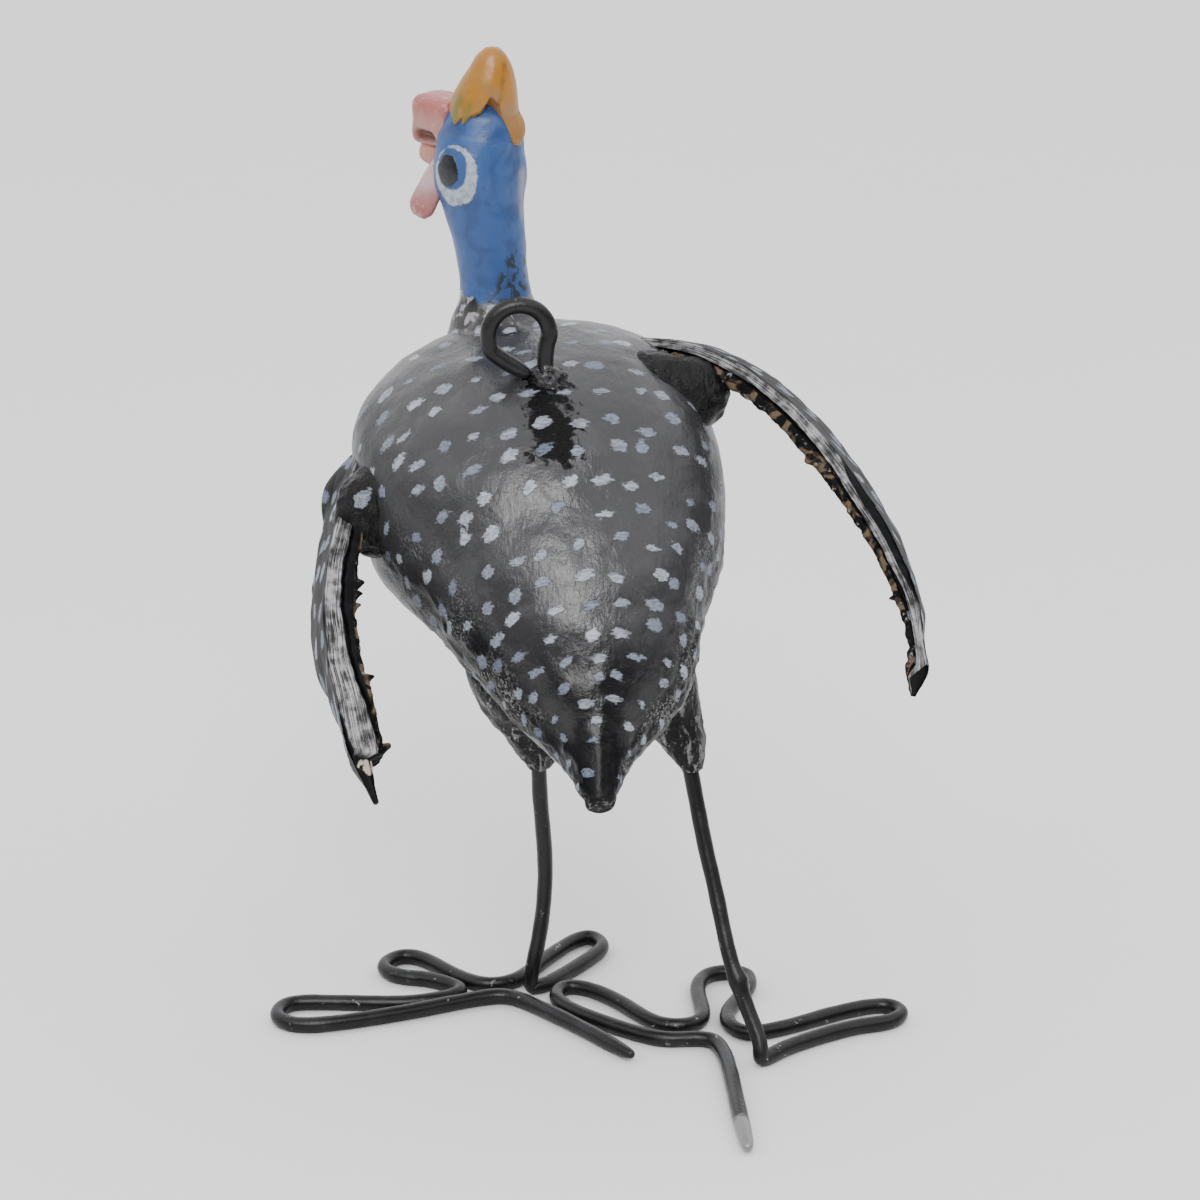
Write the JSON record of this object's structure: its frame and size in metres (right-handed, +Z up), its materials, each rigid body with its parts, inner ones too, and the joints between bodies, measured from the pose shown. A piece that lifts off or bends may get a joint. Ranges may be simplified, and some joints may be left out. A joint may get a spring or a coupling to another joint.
{
  "type": "hanging bird figure",
  "caption": "Painted paper-pulp guinea fowl figure with arched wings, wire feet and a wire hanging eye in its back.",
  "frame": {"origin": "on the ground plane, under the middle of the figure's bounding box", "axes": "+Z up along the figure's height, -Y the way the bird faces, +X towards the bird's left side"},
  "size_m": [0.1018, 0.0932, 0.1518],
  "materials": {
    "black_pulp": "gloss enamel, brushed",
    "core_wad": "matt",
    "blue_pulp": "satin paint",
    "ochre_pulp": "satin paint",
    "pink_pulp": "satin paint",
    "black_wire": "semi-gloss, worn",
    "bare_wire": "satin",
    "black_glue": "gloss"
  },
  "bodies": {
    "root": {"body_skin": "black_pulp", "body_core": "core_wad", "neck_skin": "blue_pulp", "head": "blue_pulp", "casque": "ochre_pulp", "upper_beak": "pink_pulp", "lower_beak": "pink_pulp", "wattle_left": "pink_pulp", "wattle_right": "pink_pulp", "spine_wire": "bare_wire", "wing_left": "black_pulp", "wing_right": "black_pulp", "wing_root_left": "black_pulp", "wing_root_right": "black_pulp", "wing_wire_left": "bare_wire", "wing_wire_right": "bare_wire", "thigh_left": "black_pulp", "thigh_right": "black_pulp", "leg_wire_left": "black_wire", "leg_wire_right": "black_wire", "hanging_eye": "black_wire", "eye_glue": "black_glue"}
  },
  "joints": []
}
